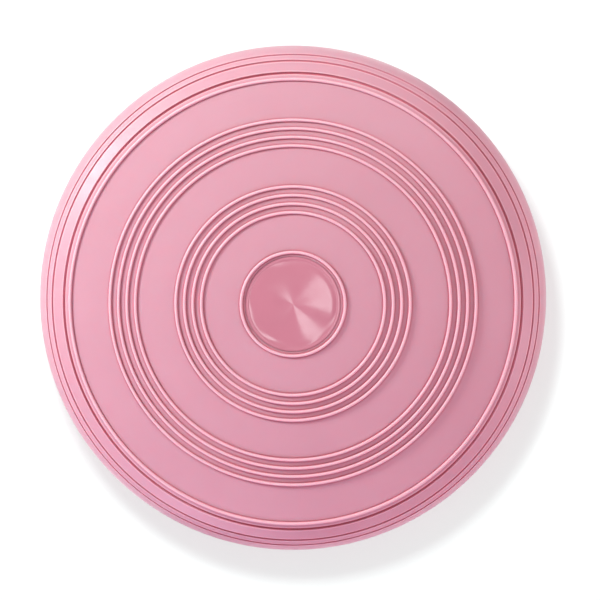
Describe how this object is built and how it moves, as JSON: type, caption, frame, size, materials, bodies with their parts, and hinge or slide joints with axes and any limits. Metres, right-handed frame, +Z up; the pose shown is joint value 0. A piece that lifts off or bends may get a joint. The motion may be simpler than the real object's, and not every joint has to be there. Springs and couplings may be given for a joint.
{
  "type": "balance dome trainer",
  "caption": "Inflated dome on a rigid round platform for balance exercise, with moulded rings for grip, an inflation valve and hand grips let into the underside.",
  "frame": {"origin": "on the floor at the centre of the ring of feet, on the dome's axis", "axes": "+Z up along the dome's axis, -Y front towards the inflation valve, +X towards the right hand grip"},
  "size_m": [0.5799, 0.58, 0.1901],
  "materials": {
    "dome_pvc": "satin",
    "sheet_pvc": "matte",
    "badge": "gloss",
    "valve": "satin",
    "plug": "satin",
    "platform_plastic": "fine texture",
    "deck_plastic": "fine texture",
    "steel": "zinc plated",
    "grip_rubber": "matte",
    "foot_rubber": "matte"
  },
  "bodies": {
    "trainer": {"dome_bladder": "dome_pvc", "bladder_floor": "sheet_pvc", "centre_badge": "badge", "valve_seat": "valve", "retaining_ring": "platform_plastic", "platform_deck": "deck_plastic", "platform_base": "platform_plastic", "ring_screws": "steel", "base_screws": "steel", "grip_screws": "steel", "hand_grip_left": "grip_rubber", "hand_grip_right": "grip_rubber", "foot_1": "foot_rubber", "foot_2": "foot_rubber", "foot_3": "foot_rubber", "foot_4": "foot_rubber", "foot_5": "foot_rubber", "foot_6": "foot_rubber", "foot_7": "foot_rubber", "foot_8": "foot_rubber"},
    "plug": {"valve_plug": "plug"}
  },
  "joints": [
    {"name": "plug_pull", "type": "slide", "parent": "trainer", "child": "plug", "axis": [0, -0.866, -0.5], "range_m": [0, 0.03]}
  ]
}
